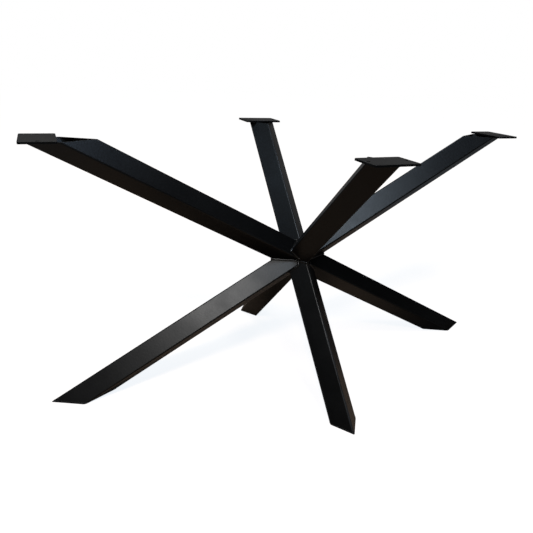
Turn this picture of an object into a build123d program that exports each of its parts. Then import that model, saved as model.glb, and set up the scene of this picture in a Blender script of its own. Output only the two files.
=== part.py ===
"""Crossed-tube table base.

Four square steel tubes cross at one point halfway up. Every tube lies on one ridge, so its
section stands as a diamond, and the long pair and the short pair each form an upright X. One
long tube runs through unbroken. The other long tube and both short tubes are cut into arms,
coped to the tubes they meet and mitred to each other. A drilled plate on each top end carries
the table top, and a thin plate closes each foot.

Millimetres, +Z up, origin on the floor under the crossing, +X along the long pair.
"""

from build123d import *
import os
from math import hypot, sqrt

# Overall form
height = 720.0  # floor to the underside of the table top
long_spread = 1310.0  # between the axes of the long pair, at the floor
short_spread = 684.0  # between the axes of the short pair, at the floor

# Tube
tube_side = 60.0
tube_wall = 2.0
tube_corner = 4.0  # outside radius along each ridge

# Top plates
plate_length = 120.0  # across the leg
plate_width = 80.0  # along the leg
plate_thickness = 5.0
plate_corner = 5.0
plate_edge_break = 0.5
hole_pitch = 100.0
hole_diameter = 9.0

# Foot plates
foot_thickness = 3.0

# Worked out from the sizes above
ridge_turn = 45.0  # puts one ridge of the square section on top
bore_side = tube_side - 2 * tube_wall
bore_corner = tube_corner - tube_wall
ridge_height = tube_side / sqrt(2) - tube_corner * (sqrt(2) - 1)  # axis to a rounded ridge
crossing = (0, 0, height / 2)
tube_top = height - plate_thickness


def leg_plane(run_x, run_y):
    """Plane square to a leg at the crossing, with its normal pointing up the leg."""
    return Plane(origin=crossing, x_dir=(-run_y, run_x, 0), z_dir=(run_x, run_y, height))


def half_reach(spread):
    """Half length of a leg before its ends are cut, long enough for both slanting cuts."""
    return hypot(spread, height) / 2 + tube_side * (1 + spread / height)


def full_section():
    """Outline of the tube, standing on one ridge."""
    RectangleRounded(tube_side, tube_side, tube_corner, rotation=ridge_turn)


def tube_section():
    """Outline of the tube with its bore."""
    full_section()
    RectangleRounded(bore_side, bore_side, bore_corner, rotation=ridge_turn, mode=Mode.SUBTRACT)


def leg_envelope(plane, spread):
    """A leg without its bore, for coping the pieces that meet it."""
    with BuildPart() as envelope:
        with BuildSketch(plane):
            full_section()
        extrude(amount=half_reach(spread), both=True)
    return envelope.part


def cut_tube_ends():
    """Level cuts that leave room for the foot plate and seat the top plate."""
    split(bisect_by=Plane.XY.offset(foot_thickness), keep=Keep.TOP)
    split(bisect_by=Plane.XY.offset(tube_top), keep=Keep.BOTTOM)


def write(piece, name):
    """Label one finished piece and write it to its own file."""
    piece.label = name
    export_step(piece, f"parts/{name}.step")


os.makedirs("parts", exist_ok=True)

# Each plane is named for the side that its leg's top end leans to
left_leg = leg_plane(-long_spread, 0)
right_leg = leg_plane(long_spread, 0)
back_leg = leg_plane(0, short_spread)
front_leg = leg_plane(0, -short_spread)

left_envelope = leg_envelope(left_leg, long_spread)
right_envelope = leg_envelope(right_leg, long_spread)

# The long tube that runs through, from the top left to the right foot
with BuildPart() as long_through_tube:
    with BuildSketch(left_leg):
        tube_section()
    extrude(amount=half_reach(long_spread), both=True)
    cut_tube_ends()
write(long_through_tube.part, "long_through_tube")

# The other long tube, as two arms coped over and under the one that runs through
for name, side in (("long_upper_arm", 1), ("long_lower_arm", -1)):
    with BuildPart() as long_arm:
        with BuildSketch(right_leg):
            tube_section()
        extrude(amount=side * half_reach(long_spread))
        add(left_envelope, mode=Mode.SUBTRACT)
        cut_tube_ends()
    write(long_arm.part, name)

# The short tubes, as four arms: mitred to each other, and coped to both long tubes
short_arms = (
    ("short_upper_arm_front", front_leg, Keep.TOP, Keep.BOTTOM),
    ("short_lower_arm_front", back_leg, Keep.BOTTOM, Keep.BOTTOM),
    ("short_upper_arm_back", back_leg, Keep.TOP, Keep.TOP),
    ("short_lower_arm_back", front_leg, Keep.BOTTOM, Keep.TOP),
)
back_half = Plane(origin=crossing, x_dir=(1, 0, 0), z_dir=(0, 1, 0))
for name, plane, level, side in short_arms:
    with BuildPart() as short_arm:
        with BuildSketch(plane):
            tube_section()
        extrude(amount=half_reach(short_spread), both=True)
        split(bisect_by=Plane.XY.offset(height / 2), keep=level)
        split(bisect_by=back_half, keep=side)
        add(left_envelope, mode=Mode.SUBTRACT)
        add(right_envelope, mode=Mode.SUBTRACT)
        cut_tube_ends()
    write(short_arm.part, name)

# Top plates, each with its outer edge flush with the outer ridge of its tube
for name, spread, toward in (
    ("top_plate_left", long_spread, (-1, 0)),
    ("top_plate_right", long_spread, (1, 0)),
    ("top_plate_front", short_spread, (0, -1)),
    ("top_plate_back", short_spread, (0, 1)),
):
    axis_at_top = spread / 2 * (tube_top - height / 2) / (height / 2)
    ridge_at_top = axis_at_top + ridge_height * hypot(spread, height) / height
    plate_centre = ridge_at_top - plate_width / 2
    seat = Plane(
        origin=(toward[0] * plate_centre, toward[1] * plate_centre, tube_top),
        x_dir=(-toward[1], toward[0], 0),
        z_dir=(0, 0, 1),
    )
    print(name, "centre", round(plate_centre, 3), "outer edge", round(ridge_at_top, 3))
    with BuildPart() as top_plate:
        with BuildSketch(seat):
            RectangleRounded(plate_length, plate_width, plate_corner)
            with GridLocations(hole_pitch, 0, 2, 1):
                Circle(hole_diameter / 2, mode=Mode.SUBTRACT)
        extrude(amount=plate_thickness)
        chamfer(top_plate.faces().sort_by(Axis.Z)[-1].outer_wire().edges(), plate_edge_break)
    write(top_plate.part, name)

# Foot plates, ground flush with the faces of the tubes they close
for name, plane, spread in (
    ("foot_plate_left", right_leg, long_spread),
    ("foot_plate_right", left_leg, long_spread),
    ("foot_plate_front", back_leg, short_spread),
    ("foot_plate_back", front_leg, short_spread),
):
    with BuildPart() as foot_plate:
        with BuildSketch(plane):
            full_section()
        extrude(amount=-half_reach(spread))
        split(bisect_by=Plane.XY.offset(foot_thickness), keep=Keep.BOTTOM)
        split(bisect_by=Plane.XY, keep=Keep.TOP)
    write(foot_plate.part, name)
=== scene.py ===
"""Looks of the crossed-tube table base.

Every steel piece of the model gets a satin black powder coat, with fine orange peel, a rubbed
ridge or edge and a little settled dust; along the tube ridges the lighter rub is also a painted
highlight. Weld beads close the seams at the crossing and under the top plates, and a ground line
runs round each foot. A pale floor and soft studio light do the rest, with a painted shadow on the
floor round the right foot that only the undersides show.

Metres, in the frame of the model: +Z up, origin on the floor under the crossing, +X along the
long pair.
"""

import bpy
from functools import partial
from itertools import combinations, groupby, product
from math import cos, pi, radians, sin, sqrt
from mathutils import Matrix, Vector


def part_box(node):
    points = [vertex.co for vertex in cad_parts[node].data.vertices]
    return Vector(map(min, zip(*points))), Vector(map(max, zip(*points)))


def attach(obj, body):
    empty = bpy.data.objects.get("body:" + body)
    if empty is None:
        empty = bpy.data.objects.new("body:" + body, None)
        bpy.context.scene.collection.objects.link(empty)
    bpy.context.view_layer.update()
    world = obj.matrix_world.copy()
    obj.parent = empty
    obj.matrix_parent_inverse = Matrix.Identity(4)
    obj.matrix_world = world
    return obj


# Sizes of the model
HEIGHT = 0.720
LONG_SPREAD = 1.310
SHORT_SPREAD = 0.684
TUBE_SIDE = 0.060
TUBE_CORNER = 0.004
PLATE_WIDTH = 0.080
PLATE_THICKNESS = 0.005
FOOT_THICKNESS = 0.003

HALF_SIDE = TUBE_SIDE / 2
RIDGE = TUBE_SIDE / sqrt(2) - TUBE_CORNER * (sqrt(2) - 1)  # axis to a rounded ridge
CROSSING = Vector((0, 0, HEIGHT / 2))
TUBE_TOP = HEIGHT - PLATE_THICKNESS

# Each leg is named for the side that its top end leans to
LEG_RUNS = {
    "left": (-LONG_SPREAD, 0),
    "right": (LONG_SPREAD, 0),
    "back": (0, SHORT_SPREAD),
    "front": (0, -SHORT_SPREAD),
}
TUBE_LEGS = {
    "long_through_tube": "left",
    "long_upper_arm": "right",
    "long_lower_arm": "right",
    "short_upper_arm_back": "back",
    "short_lower_arm_front": "back",
    "short_upper_arm_front": "front",
    "short_lower_arm_back": "front",
}
FOOT_LEGS = {"left": "right", "right": "left", "front": "back", "back": "front"}

# Powder coat
COAT_BLACK = (0.0011, 0.0011, 0.0012, 1)
# The lighter grey below is rubbed coat, and along the tube ridges also a painted highlight
COAT_WORN_AND_HIGHLIGHT = (0.017, 0.017, 0.0175, 1)
DUST_GREY = (0.010, 0.0096, 0.0092, 1)
MOTTLE_DARK = 0.8  # share of the black left in the darker parts of the mottle
COAT_GLOSS, BEAD_GLOSS = 0.35, 0.30  # roughness; the coat flows smoother over a bead
COAT_SHINE, BEAD_SHINE = 0.21, 0.5  # specular level
GLOSS_SPAN = (-0.02, 0.03)  # roughness that the mottle adds, from dark to light
WORN_POLISH, DUST_DULLING = -0.08, 0.3  # roughness that rubbing and dust add
PEEL_DEPTH, BEAD_PEEL_DEPTH = 0.00011, 0.00014
TUBE_DUST, PLATE_DUST, BEAD_DUST = 0.12, 0.3, 0.05

# How strongly the coat is rubbed. On the tube ridges the lighter rub is also a painted highlight,
# strongest on the back leg.
RIDGE_WEAR_AND_HIGHLIGHT = {"left": 0.2, "right": 0.35, "front": 0.3, "back": 1.4}
FOOT_RUB = {"Rub width": 0.004, "Patch scale": 40.0, "Strength": 0.5}
PLATE_RUB = {"Strength": 0.6}

# Levels between which a noise, or for the dust the normal's rise, fades a mask in
RIDGE_PATCHES, EDGE_PATCHES, MOTTLE_PATCHES = (0.30, 0.72), (0.30, 0.70), (0.3, 0.7)
DUST_SPECKS, DUST_CLOUDS, DUST_SLOPE = (0.56, 0.72), (0.35, 0.75), (0.2, 1.0)
SPECK_SHARE, CLOUD_SHARE = 0.6, 0.4

# Weld beads
BEAD_RADIUS, PLATE_BEAD_RADIUS, FOOT_LINE_RADIUS = 0.0042, 0.0030, 0.0006
BEAD_PITCH, FOOT_LINE_PITCH = 0.0028, 0.006
BEAD_RIPPLE, PLATE_BEAD_RIPPLE = 0.022, 0.03
BEAD_SINK = 0.0009  # how deep a bead's middle lies under each face that it joins
BEAD_SIDES = 12
RINGS_PER_RIPPLE = 5.0
UNEVEN_SCALE = 140.0
END_SWELL = 0.2  # how much a bead widens where it starts and stops
END_REACH = 0.010  # how far from its ends it is wider
SMALLEST_END = 0.03  # share of a bead's section left at its very end, so that no face is flat
CORNER_REACH = 0.012  # ends of seams nearer than this meet at one corner
TIP_GAP, INNER_GAP = 0.010, 0.003  # left open between a plate's outer or inner edge and its welds

# Search for the seams
SEAM_STEP, SEAM_SEARCH = 0.0005, 400  # length of a step along a line, and steps to each side
SEAM_SLACK = 0.00002  # how near to both faces a point of a seam lies
SHORTEST_SEAM = 0.004
PARALLEL = 1e-6  # two faces whose normals' cross product is shorter never meet
RIDGE_STEPS = 6  # parts into which an outline divides each rounded ridge
PATH_STEP = 0.001  # longest step along the path of a weld under a plate

# Floor. The camera sees FLOOR_PAINT, and only the undersides show the other paints: warm near the
# crossing, a painted shadow round the right foot and grey far out.
FLOOR_REACH, FLOOR_LEVEL = 12.0, -0.0005
FLOOR_PAINT = (0.31, 0.205, 0.135, 1)
PAINT_NEAR = (0.34, 0.228, 0.152, 1)
# Painted shadow round the right foot: its colour, and below its middle and reach
PAINTED_SHADOW = (0.015, 0.010, 0.007, 1)
PAINT_FAR = (0.24, 0.24, 0.24, 1)
PAINTED_SHADOW_MIDDLE, PAINTED_SHADOW_REACH = (0.62, -0.03, 0.0), 0.45
PAINT_FADE = (0.75, 1.30)  # distances from the origin over which the paint turns grey
WHITE = (1, 1, 1, 1)
GLOW_NEAR = (0.86, 0.90, 0.94, 1)  # the glow in the shadow's reach; beyond it, it is white
GLOW_FADE = (0.9, 2.2)  # distances from the origin over which it turns white
MIRRORED_BACKDROP = 0.025  # share of the white that the coat mirrors

# Lamps that point at the crossing: azimuth from +Y towards +X and elevation in degrees, width,
# height, watts, colour
LAMP_DISTANCE = 3.0
LAMPS = {
    "key_light": (-140, 46, 0.45, 0.45, 44, (1.0, 0.985, 0.97)),
    "overhead_silk": (-170, 62, 0.6, 0.6, 39.5, (0.70, 0.845, 1.0)),
    "window_silk": (120, 76, 0.8, 0.8, 14, (0.55, 0.73, 1.0)),
    "side_silk": (-85, 42, 0.8, 0.8, 5, (0.6, 0.8, 1.0)),
    "back_left_silk": (-30, 50, 0.8, 0.8, 8, (0.95, 0.98, 1.0)),
    "back_right_silk": (60, 50, 0.8, 0.8, 6, (0.95, 0.98, 1.0)),
    "back_wall": (15, 8, 7.5, 2.0, 6.2, (1.0, 0.99, 0.98)),
}

# Camera, for a square picture 533 pixels wide
PICTURE = 533
FOCAL_PIXELS = 481.7166
OPTICAL_CENTRE = (256.2424, 273.7456)
EYE = Vector((-0.6742897, -1.2050708, 0.9049306))
EYE_YAW, EYE_PITCH, EYE_ROLL = 0.4197, -0.4187, -0.0572
SENSOR = 36.0
NEAREST, FARTHEST = 0.05, 60.0

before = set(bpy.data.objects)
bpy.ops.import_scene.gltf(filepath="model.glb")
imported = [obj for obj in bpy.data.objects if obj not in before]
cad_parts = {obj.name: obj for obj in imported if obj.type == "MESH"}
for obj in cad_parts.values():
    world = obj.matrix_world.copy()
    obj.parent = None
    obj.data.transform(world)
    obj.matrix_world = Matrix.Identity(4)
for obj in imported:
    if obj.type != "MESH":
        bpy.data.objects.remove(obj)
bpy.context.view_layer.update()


# Node helpers

FLOAT, VECTOR = "NodeSocketFloat", "NodeSocketVector"
GEOMETRY, MATERIAL = "NodeSocketGeometry", "NodeSocketMaterial"


def feed_in(tree, socket, feed):
    """Gives an input a plain value or another node's socket; None leaves it as it is."""
    if isinstance(feed, bpy.types.NodeSocket):
        tree.links.new(feed, socket)
    elif feed is not None:
        socket.default_value = feed


def feed_by_name(tree, node, feeds):
    """Feeds a node's inputs by their names."""
    for name, feed in feeds.items():
        feed_in(tree, node.inputs[name], feed)
    return node


def put(tree, kind, *feeds, **settings):
    """One node, with its settings; the feeds go to its inputs in order."""
    node = tree.nodes.new(kind)
    for name, value in settings.items():
        setattr(node, name, value)
    for socket, feed in zip(node.inputs, feeds):
        feed_in(tree, socket, feed)
    return node


def sum_up(tree, operation, *feeds, clamp=False):
    """Output of a Math node."""
    return put(tree, "ShaderNodeMath", *feeds, operation=operation, use_clamp=clamp).outputs[0]


def vector_sum(tree, operation, *feeds, output="Vector"):
    """Output of a Vector Math node."""
    return put(tree, "ShaderNodeVectorMath", *feeds, operation=operation).outputs[output]


def ramp(tree, value, low, high, to_low=0.0, to_high=1.0):
    """Smooth step of a value between two limits."""
    step = put(tree, "ShaderNodeMapRange", value, low, high, to_low, to_high)
    step.interpolation_type = "SMOOTHSTEP"
    return step.outputs["Result"]


def mix_colour(tree, mask, first, second):
    """Mixes two colours by a mask."""
    node = put(tree, "ShaderNodeMix", mask, data_type="RGBA")
    feed_in(tree, node.inputs[6], first)  # the colour sockets share their names with others
    feed_in(tree, node.inputs[7], second)
    return node.outputs[2]


def noise(tree, position, scale, detail=2.0, roughness=0.5):
    """Factor of a noise on a position."""
    node = tree.nodes.new("ShaderNodeTexNoise")
    feeds = {"Vector": position, "Scale": scale, "Detail": detail, "Roughness": roughness}
    return feed_by_name(tree, node, feeds).outputs["Fac"]


def new_group(name, inputs, outputs, kind="ShaderNodeTree"):
    """Empty node group with named sockets; gives the tree, its inputs and its output node."""
    tree = bpy.data.node_groups.new(name, kind)
    for label, socket_kind, value in inputs:
        socket = tree.interface.new_socket(label, in_out="INPUT", socket_type=socket_kind)
        if value is not None:
            socket.default_value = value
    for label, socket_kind in outputs:
        tree.interface.new_socket(label, in_out="OUTPUT", socket_type=socket_kind)
    return tree, tree.nodes.new("NodeGroupInput").outputs, tree.nodes.new("NodeGroupOutput")


def use_group(tree, group, feeds):
    """One use of a group in a material, with its own values."""
    return feed_by_name(tree, put(tree, "ShaderNodeGroup", node_tree=group), feeds).outputs


# Shared effects


def build_ridge_rub():
    """Mask along the four ridges of a tube, where hands and blankets rub the coat.

    On the tubes the mask also paints a highlight along the ridges.
    """
    tree, given, out = new_group(
        "ridge_rub_and_highlight",
        [
            ("Position", VECTOR, None),
            ("Across", VECTOR, None),
            ("Rise", VECTOR, None),
            ("Ridge distance", FLOAT, RIDGE),
            ("Rub width", FLOAT, 0.003),
            ("Patch scale", FLOAT, 9.0),
            ("Strength", FLOAT, 1.0),
        ],
        [("Mask", FLOAT)],
    )
    from_crossing = vector_sum(tree, "SUBTRACT", given["Position"], CROSSING)
    across = vector_sum(tree, "DOT_PRODUCT", from_crossing, given["Across"], output="Value")
    rise = vector_sum(tree, "DOT_PRODUCT", from_crossing, given["Rise"], output="Value")
    across, rise = sum_up(tree, "ABSOLUTE", across), sum_up(tree, "ABSOLUTE", rise)
    reach = sum_up(tree, "MAXIMUM", across, rise)
    inner = sum_up(tree, "SUBTRACT", given["Ridge distance"], given["Rub width"])
    band = ramp(tree, reach, inner, given["Ridge distance"])
    spread = noise(tree, given["Position"], given["Patch scale"], detail=4.0)
    mask = sum_up(tree, "MULTIPLY", band, ramp(tree, spread, *RIDGE_PATCHES))
    mask = sum_up(tree, "MULTIPLY", mask, given["Strength"], clamp=True)
    feed_in(tree, out.inputs["Mask"], mask)
    return tree


def build_edge_rub():
    """Mask along the edges of a flat plate, where two of its sides meet."""
    tree, given, out = new_group(
        "edge_rub",
        [
            ("Position", VECTOR, None),
            ("Centre", VECTOR, None),
            ("Half size", VECTOR, None),
            ("Rub width", FLOAT, 0.0008),
            ("Patch scale", FLOAT, 30.0),
            ("Strength", FLOAT, 1.0),
        ],
        [("Mask", FLOAT)],
    )
    offset = vector_sum(tree, "SUBTRACT", given["Position"], given["Centre"])
    away = vector_sum(tree, "ABSOLUTE", offset)
    inward = vector_sum(tree, "SUBTRACT", given["Half size"], away)
    margin = put(tree, "ShaderNodeSeparateXYZ", inward).outputs
    nearer = sum_up(tree, "MINIMUM", margin["X"], margin["Y"])
    farther = sum_up(tree, "MAXIMUM", margin["X"], margin["Y"])
    second = sum_up(tree, "MAXIMUM", nearer, sum_up(tree, "MINIMUM", farther, margin["Z"]))
    band = ramp(tree, second, 0.0, given["Rub width"], to_low=1.0, to_high=0.0)
    spread = noise(tree, given["Position"], given["Patch scale"], detail=4.0)
    mask = sum_up(tree, "MULTIPLY", band, ramp(tree, spread, *EDGE_PATCHES))
    mask = sum_up(tree, "MULTIPLY", mask, given["Strength"], clamp=True)
    feed_in(tree, out.inputs["Mask"], mask)
    return tree


def build_orange_peel():
    """Height of a powder coat's skin, and its slow change of tone."""
    tree, given, out = new_group(
        "orange_peel",
        [
            ("Position", VECTOR, None),
            ("Grain scale", FLOAT, 1400.0),
            ("Peel scale", FLOAT, 230.0),
            ("Peel share", FLOAT, 0.88),
            ("Mottle scale", FLOAT, 7.0),
        ],
        [("Height", FLOAT), ("Mottle", FLOAT)],
    )
    grain = noise(tree, given["Position"], given["Grain scale"], detail=1.0)
    peel = noise(tree, given["Position"], given["Peel scale"], detail=1.0)
    height = put(tree, "ShaderNodeMix", given["Peel share"], None, grain, peel).outputs[0]
    feed_in(tree, out.inputs["Height"], height)
    tone = noise(tree, given["Position"], given["Mottle scale"], detail=5.0, roughness=0.6)
    feed_in(tree, out.inputs["Mottle"], ramp(tree, tone, *MOTTLE_PATCHES))
    return tree


def build_settled_dust():
    """Mask of the thin dust that lies on what faces up."""
    tree, given, out = new_group(
        "settled_dust",
        [
            ("Position", VECTOR, None),
            ("Normal", VECTOR, None),
            ("Speck scale", FLOAT, 900.0),
            ("Cloud scale", FLOAT, 11.0),
            ("Strength", FLOAT, 0.3),
        ],
        [("Mask", FLOAT)],
    )
    lift = put(tree, "ShaderNodeSeparateXYZ", given["Normal"]).outputs["Z"]
    facing_up = ramp(tree, lift, *DUST_SLOPE)
    fine = noise(tree, given["Position"], given["Speck scale"], detail=1.0)
    broad = noise(tree, given["Position"], given["Cloud scale"], detail=3.0)
    specks, clouds = ramp(tree, fine, *DUST_SPECKS), ramp(tree, broad, *DUST_CLOUDS)
    clouds = sum_up(tree, "MULTIPLY", clouds, CLOUD_SHARE)
    lying = sum_up(tree, "MULTIPLY_ADD", specks, SPECK_SHARE, clouds)
    mask = sum_up(tree, "MULTIPLY", sum_up(tree, "MULTIPLY", lying, facing_up), given["Strength"])
    feed_in(tree, out.inputs["Mask"], mask)
    return tree


RIDGE_RUB_AND_HIGHLIGHT = build_ridge_rub()
EDGE_RUB = build_edge_rub()
ORANGE_PEEL = build_orange_peel()
SETTLED_DUST = build_settled_dust()


# Materials


def powder_coat(
    name,
    rub=None,
    rub_values=None,
    dust=TUBE_DUST,
    peel_depth=PEEL_DEPTH,
    gloss=COAT_GLOSS,
    shine=COAT_SHINE,
):
    """Satin black powder coat, with its own rubbed edges where a rub group is given."""
    material = bpy.data.materials.new(name)
    material.use_nodes = True
    tree = material.node_tree
    position = tree.nodes.new("ShaderNodeTexCoord").outputs["Object"]
    normal = tree.nodes.new("ShaderNodeNewGeometry").outputs["Normal"]
    skin = use_group(tree, ORANGE_PEEL, {"Position": position})
    dusting = {"Position": position, "Normal": normal, "Strength": dust}
    settled = use_group(tree, SETTLED_DUST, dusting)["Mask"]
    shaded = tuple(MOTTLE_DARK * channel for channel in COAT_BLACK[:3]) + (1,)
    colour = mix_colour(tree, skin["Mottle"], shaded, COAT_BLACK)
    spread = [gloss + added for added in GLOSS_SPAN]
    roughness = ramp(tree, skin["Mottle"], 0.0, 1.0, *spread)
    # Where a rub is given the coat turns lighter and glossier: wear, on tube ridges also a painted
    # highlight
    if rub is not None:
        worn_and_highlight = use_group(tree, rub, {"Position": position, **rub_values})["Mask"]
        colour = mix_colour(tree, worn_and_highlight, colour, COAT_WORN_AND_HIGHLIGHT)
        roughness = sum_up(tree, "MULTIPLY_ADD", worn_and_highlight, WORN_POLISH, roughness)
    colour = mix_colour(tree, settled, colour, DUST_GREY)
    roughness = sum_up(tree, "MULTIPLY_ADD", settled, DUST_DULLING, roughness)
    peel = {"Strength": 1.0, "Distance": peel_depth, "Height": skin["Height"]}
    bump = feed_by_name(tree, tree.nodes.new("ShaderNodeBump"), peel)
    coat = {
        "Base Color": colour,
        "Roughness": roughness,
        "Specular IOR Level": shine,
        "Normal": bump.outputs["Normal"],
    }
    feed_by_name(tree, tree.nodes["Principled BSDF"], coat)
    return material


def leg_axes(leg):
    """Unit vectors up a leg, level across it, and square to both."""
    run_x, run_y = LEG_RUNS[leg]
    along = Vector((run_x, run_y, HEIGHT)).normalized()
    across = Vector((-run_y, run_x, 0)).normalized()
    return along, across, along.cross(across)


def ridge_coat(name, leg, rub, dust=TUBE_DUST):
    """Powder coat rubbed lighter along the ridges of a leg: wear, and also a painted highlight."""
    _, across, rise = leg_axes(leg)
    return powder_coat(name, RIDGE_RUB_AND_HIGHLIGHT, {"Across": across, "Rise": rise, **rub}, dust)


def dress(node, material):
    """Gives every slot of a model node the material."""
    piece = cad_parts[node]
    if not piece.material_slots:
        piece.data.materials.append(material)
    for slot in piece.material_slots:
        slot.material = material


# Tube ridges: a rub that is partly wear and partly a painted highlight, strongest on the back leg
tube_coats = {
    leg: ridge_coat(f"tube_coat_{leg}", leg, {"Strength": RIDGE_WEAR_AND_HIGHLIGHT[leg]}) for leg in LEG_RUNS
}
for node, leg in TUBE_LEGS.items():
    dress(node, tube_coats[leg])
for side, leg in FOOT_LEGS.items():
    dress(f"foot_plate_{side}", ridge_coat(f"foot_coat_{side}", leg, FOOT_RUB, dust=0.0))
for side in LEG_RUNS:
    low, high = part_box(f"top_plate_{side}")
    rub = {"Centre": (low + high) / 2, "Half size": (high - low) / 2, **PLATE_RUB}
    dress(f"top_plate_{side}", powder_coat(f"plate_coat_{side}", EDGE_RUB, rub, PLATE_DUST))
weld_coat = powder_coat(
    "weld_coat", dust=BEAD_DUST, peel_depth=BEAD_PEEL_DEPTH, gloss=BEAD_GLOSS, shine=BEAD_SHINE
)


# Weld beads


def new_object(name, data):
    """New object in the scene."""
    made = bpy.data.objects.new(name, data)
    bpy.context.scene.collection.objects.link(made)
    return made


def side_planes(leg):
    """Normals of a tube's four faces; each face lies half a side from the axis."""
    _, across, rise = leg_axes(leg)
    first, second = (across + rise).normalized(), (across - rise).normalized()
    return [first, second, -first, -second]


def height_over(leg, point):
    """How far a point lies outside a leg's faces; negative inside."""
    return max((point - CROSSING).dot(n) for n in side_planes(leg)) - HALF_SIDE


def in_the_open(pair, point):
    """Whether a point lies on the faces of both legs of a pair, and not inside another leg."""
    others = [leg for leg in LEG_RUNS if leg not in pair]
    return all(abs(height_over(leg, point)) < SEAM_SLACK for leg in pair) and all(
        height_over(leg, point) > -SEAM_SLACK for leg in others
    )


def runs_of(points, wanted):
    """Unbroken runs of the points that are wanted."""
    return [list(run) for kept, run in groupby(points, wanted) if kept]


def crossing_seams():
    """Straight seams where the faces of two legs meet in the open, as pairs of end points."""
    seams = []
    for pair in combinations(LEG_RUNS, 2):
        for n_a, n_b in product(*map(side_planes, pair)):
            line = n_a.cross(n_b)
            if line.length < PARALLEL:
                continue
            line.normalize()
            middle = CROSSING + (n_a + n_b) * HALF_SIDE / (1 + n_a.dot(n_b))
            reach = range(-SEAM_SEARCH, SEAM_SEARCH + 1)
            path = [middle + line * (k * SEAM_STEP) for k in reach]
            sink = (n_a + n_b) * BEAD_SINK
            for run in runs_of(path, partial(in_the_open, pair)):
                if (run[-1] - run[0]).length > SHORTEST_SEAM:
                    seams.append([run[0] - sink, run[-1] - sink])
    return seams


def joined(seams):
    """Seams brought together where they run to one corner, with room there for their round ends."""
    places = [point for seam in seams for point in seam]
    longer = []
    for seam in seams:
        near = [[p for p in places if (p - end).length < CORNER_REACH] for end in seam]
        first, last = (sum(group, Vector()) / len(group) for group in near)
        room = (last - first).normalized() * BEAD_RADIUS * (1 + END_SWELL)
        if len(near[0]) > 1:
            first = first - room
        if len(near[1]) > 1:
            last = last + room
        longer.append([first, last])
    return longer


def outline(leg, level):
    """Outline of a tube's outside at a level, as points round it from its lower ridge."""
    along, across, rise = leg_axes(leg)
    hub = (HALF_SIDE - TUBE_CORNER) * sqrt(2)
    points = []
    for ridge, k in product(range(4), range(RIDGE_STEPS + 1)):
        to_ridge, to_skin = ridge * pi / 2, (ridge - 0.5 + k / RIDGE_STEPS) * pi / 2
        sideways = hub * sin(to_ridge) + TUBE_CORNER * sin(to_skin)
        upward = -hub * cos(to_ridge) - TUBE_CORNER * cos(to_skin)
        point = CROSSING + across * sideways + rise * upward
        points.append(point + along * (level - point.z) / along.z)
    return points


def plate_seams():
    """Seams under each top plate, along both sides of the tube's end."""
    seams = []
    for leg, run in LEG_RUNS.items():
        lean = Vector((*run, 0)).normalized()
        corners = outline(leg, TUBE_TOP)
        outer_edge = max(point.dot(lean) for point in corners)
        path = []
        for begin, end in zip(corners, corners[1:] + corners[:1]):
            steps = 1 + int((end - begin).length / PATH_STEP)
            path += [begin.lerp(end, k / steps) for k in range(steps)]
        seams += runs_of(
            path, lambda point: TIP_GAP < outer_edge - point.dot(lean) < PLATE_WIDTH - INNER_GAP
        )
    return seams


def foot_lines():
    """Closed line round each foot, where its plate is ground flush with the tube."""
    outlines = [outline(leg, FOOT_THICKNESS) for leg in LEG_RUNS]
    return [corners + corners[:1] for corners in outlines]


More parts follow.
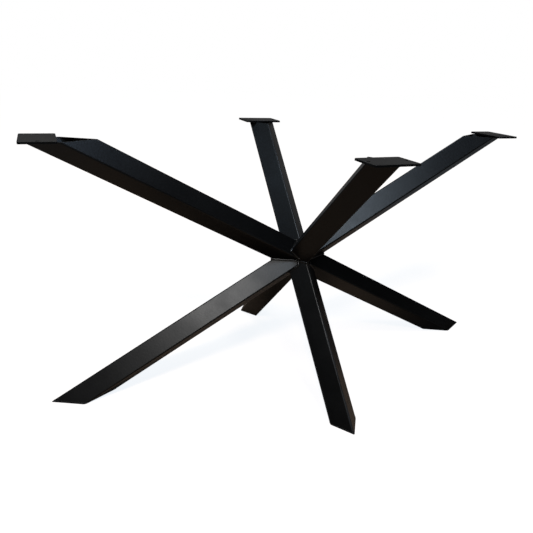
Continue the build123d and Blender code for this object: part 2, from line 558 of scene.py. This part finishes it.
def build_bead_tree():
    """Rippled bead swept along the edges of a mesh."""
    tree, given, out = new_group(
        "weld_bead",
        [
            ("Seams", GEOMETRY, None),
            ("Bead radius", FLOAT, BEAD_RADIUS),
            ("Ripple pitch", FLOAT, BEAD_PITCH),
            ("Ripple depth", FLOAT, BEAD_RIPPLE),
            ("Unevenness", FLOAT, 0.2),
            ("End reach", FLOAT, END_REACH),
            ("End swell", FLOAT, END_SWELL),
            ("End rounding", FLOAT, 1.0),
            ("Seed", FLOAT, 3.0),
            ("Coat", MATERIAL, None),
        ],
        [("Bead", GEOMETRY)],
        "GeometryNodeTree",
    )
    path = put(tree, "GeometryNodeMeshToCurve", given["Seams"]).outputs["Curve"]
    fine = put(tree, "GeometryNodeResampleCurve", path, mode="LENGTH")
    step = sum_up(tree, "DIVIDE", given["Ripple pitch"], RINGS_PER_RIPPLE)
    feed_in(tree, fine.inputs["Length"], step)

    run = tree.nodes.new("GeometryNodeSplineParameter").outputs["Length"]
    whole_run = tree.nodes.new("GeometryNodeSplineLength").outputs["Length"]
    to_end = sum_up(tree, "MINIMUM", run, sum_up(tree, "SUBTRACT", whole_run, run))
    end = ramp(tree, to_end, 0.0, given["End reach"], to_low=1.0, to_high=0.0)
    stop = sum_up(tree, "MULTIPLY", end, given["End swell"])
    turn = sum_up(tree, "DIVIDE", run, given["Ripple pitch"])
    ripple = sum_up(tree, "SINE", sum_up(tree, "MULTIPLY", turn, 2 * pi))
    notch = sum_up(tree, "MULTIPLY", ripple, given["Ripple depth"])
    place = tree.nodes.new("GeometryNodeInputPosition").outputs["Position"]
    wander = put(tree, "ShaderNodeTexNoise", noise_dimensions="4D")
    feed_by_name(tree, wander, {"Vector": place, "W": given["Seed"], "Scale": UNEVEN_SCALE})
    uneven = sum_up(tree, "SUBTRACT", wander.outputs["Fac"], 0.5)
    swell = sum_up(tree, "MULTIPLY", uneven, given["Unevenness"])
    width = sum_up(tree, "ADD", sum_up(tree, "ADD", stop, 1.0), swell)
    width = sum_up(tree, "ADD", width, notch)
    radius = sum_up(tree, "MULTIPLY", width, given["Bead radius"])

    # The last stretch, one radius long, follows a round end
    short = sum_up(tree, "SUBTRACT", given["End rounding"], sum_up(tree, "DIVIDE", to_end, radius))
    short = sum_up(tree, "MAXIMUM", short, 0.0)
    inside = sum_up(tree, "SUBTRACT", 1.0, sum_up(tree, "MULTIPLY", short, short))
    inside = sum_up(tree, "MAXIMUM", inside, SMALLEST_END)
    radius = sum_up(tree, "MULTIPLY", radius, sum_up(tree, "SQRT", inside))

    ring = put(tree, "GeometryNodeCurvePrimitiveCircle")
    feed_by_name(tree, ring, {"Resolution": BEAD_SIDES, "Radius": 1.0})
    swept = put(tree, "GeometryNodeCurveToMesh", fine.outputs["Curve"], ring.outputs["Curve"])
    feed_by_name(tree, swept, {"Scale": radius, "Fill Caps": True})
    smooth = put(tree, "GeometryNodeSetShadeSmooth", swept.outputs["Mesh"])
    whole = put(tree, "GeometryNodeRealizeInstances", smooth.outputs["Geometry"])
    coated = put(tree, "GeometryNodeSetMaterial", whole.outputs["Geometry"])
    feed_in(tree, coated.inputs["Material"], given["Coat"])
    feed_in(tree, out.inputs["Bead"], coated.outputs["Geometry"])
    return tree


BEAD_TREE = build_bead_tree()
BEAD_INPUTS = {item.name: item.identifier for item in BEAD_TREE.interface.items_tree}


def weld(name, lines, sizes):
    """Sweeps beads along lines of points and leaves one plain mesh, riding on the base."""
    vertices, edges = [], []
    for line in lines:
        first = len(vertices)
        vertices += [tuple(point) for point in line]
        edges += [(first + k, first + k + 1) for k in range(len(line) - 1)]
    guide = new_object(name, bpy.data.meshes.new(name))
    guide.data.from_pydata(vertices, edges, [])
    sweep = guide.modifiers.new("bead", "NODES")
    sweep.node_group = BEAD_TREE
    for label, value in {"Coat": weld_coat, **sizes}.items():
        sweep[BEAD_INPUTS[label]] = value
    evaluated = guide.evaluated_get(bpy.context.evaluated_depsgraph_get())
    made = bpy.data.meshes.new_from_object(evaluated)
    guide.modifiers.clear()
    guide.data = made
    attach(guide, "root")


weld("crossing_welds", joined(crossing_seams()), {})
weld(
    "plate_welds",
    plate_seams(),
    {"Bead radius": PLATE_BEAD_RADIUS, "Ripple depth": PLATE_BEAD_RIPPLE, "Seed": 8.0},
)
weld(
    "foot_weld_lines",
    foot_lines(),
    {
        "Bead radius": FOOT_LINE_RADIUS,
        "Ripple pitch": FOOT_LINE_PITCH,
        "End swell": 0.0,
        "End rounding": 0.0,
    },
)


# Floor, backdrop and light


def blank_tree(block):
    """Node tree of a material or a world, with nothing in it."""
    block.use_nodes = True
    block.node_tree.nodes.clear()
    return block.node_tree


def shows_backdrop(tree):
    """How much of the white backdrop a ray shows; the dull coat mirrors it only faintly."""
    rays = tree.nodes.new("ShaderNodeLightPath").outputs
    mirrored = sum_up(tree, "MULTIPLY", rays["Is Glossy Ray"], MIRRORED_BACKDROP)
    seen = sum_up(tree, "ADD", rays["Is Camera Ray"], mirrored)
    return sum_up(tree, "ADD", seen, rays["Is Transmission Ray"], clamp=True)


def paint_floor():
    """Material of the floor: paint that takes the shadow, and a glow that makes it white.

    The paint holds a painted shadow round the right foot, which only the undersides show.
    """
    material = bpy.data.materials.new("floor_paint")
    tree = blank_tree(material)
    place = tree.nodes.new("ShaderNodeTexCoord").outputs["Object"]
    away = vector_sum(tree, "LENGTH", place, output="Value")
    # Painted shadow round the right foot, which only the undersides show
    from_painted_shadow = vector_sum(tree, "DISTANCE", place, PAINTED_SHADOW_MIDDLE, output="Value")
    colour = mix_colour(tree, ramp(tree, from_painted_shadow, 0.0, PAINTED_SHADOW_REACH), PAINTED_SHADOW, PAINT_NEAR)
    colour = mix_colour(tree, ramp(tree, away, *PAINT_FADE), colour, PAINT_FAR)
    seen = tree.nodes.new("ShaderNodeLightPath").outputs["Is Camera Ray"]
    colour = mix_colour(tree, seen, colour, FLOOR_PAINT)
    paint = put(tree, "ShaderNodeBsdfDiffuse", colour).outputs[0]
    shine = mix_colour(tree, ramp(tree, away, *GLOW_FADE), GLOW_NEAR, WHITE)
    glow = put(tree, "ShaderNodeEmission", shine, shows_backdrop(tree)).outputs[0]
    both = put(tree, "ShaderNodeAddShader", paint, glow).outputs[0]
    put(tree, "ShaderNodeOutputMaterial", both)
    return material


def build_floor():
    """Pale floor that keeps the shadow and turns to white round it."""
    mesh = bpy.data.meshes.new("studio_floor")
    signs = ((-1, -1), (1, -1), (1, 1), (-1, 1))
    corners = [(x * FLOOR_REACH, y * FLOOR_REACH, FLOOR_LEVEL) for x, y in signs]
    mesh.from_pydata(corners, [], [(0, 1, 2, 3)])
    mesh.materials.append(paint_floor())
    new_object("studio_floor", mesh)


def build_world():
    """White behind the object, which lights nothing."""
    world = bpy.data.worlds.new("studio")
    bpy.context.scene.world = world
    tree = blank_tree(world)
    white = put(tree, "ShaderNodeBackground", WHITE, shows_backdrop(tree)).outputs[0]
    put(tree, "ShaderNodeOutputWorld", white)


def softbox(name, azimuth, elevation, width, height, watts, colour):
    """Soft light aimed at the crossing."""
    lamp = bpy.data.lights.new(name, "AREA")
    lamp.shape, lamp.energy, lamp.color = "ELLIPSE", watts, colour
    lamp.size, lamp.size_y = width, height
    holder = new_object(name, lamp)
    a, e = radians(azimuth), radians(elevation)
    toward = Vector((sin(a) * cos(e), cos(a) * cos(e), sin(e)))
    holder.location = CROSSING + toward * LAMP_DISTANCE
    holder.rotation_mode = "QUATERNION"
    holder.rotation_quaternion = toward.to_track_quat("Z", "Y")
    holder.visible_camera = False


def build_camera():
    """Camera with the lens and the stand of the picture."""
    camera = bpy.data.cameras.new("camera")
    camera.sensor_width = SENSOR
    camera.lens = SENSOR * FOCAL_PIXELS / PICTURE
    camera.shift_x = (PICTURE / 2 - OPTICAL_CENTRE[0]) / PICTURE
    camera.shift_y = (OPTICAL_CENTRE[1] - PICTURE / 2) / PICTURE
    camera.clip_start, camera.clip_end = NEAREST, FARTHEST
    level = Vector((cos(EYE_YAW), -sin(EYE_YAW), 0))
    ahead = Vector((sin(EYE_YAW), cos(EYE_YAW), 0))
    forward = ahead * cos(EYE_PITCH) + Vector((0, 0, sin(EYE_PITCH)))
    upright = level.cross(forward)
    right = cos(EYE_ROLL) * level - sin(EYE_ROLL) * upright
    up = sin(EYE_ROLL) * level + cos(EYE_ROLL) * upright
    turn = Matrix((right, up, -forward)).transposed().to_4x4()
    holder = new_object("camera", camera)
    holder.matrix_world = Matrix.Translation(EYE) @ turn
    bpy.context.scene.camera = holder


build_floor()
build_world()
for name, lamp in LAMPS.items():
    softbox(name, *lamp)
build_camera()
bpy.context.scene.view_settings.view_transform = "Standard"
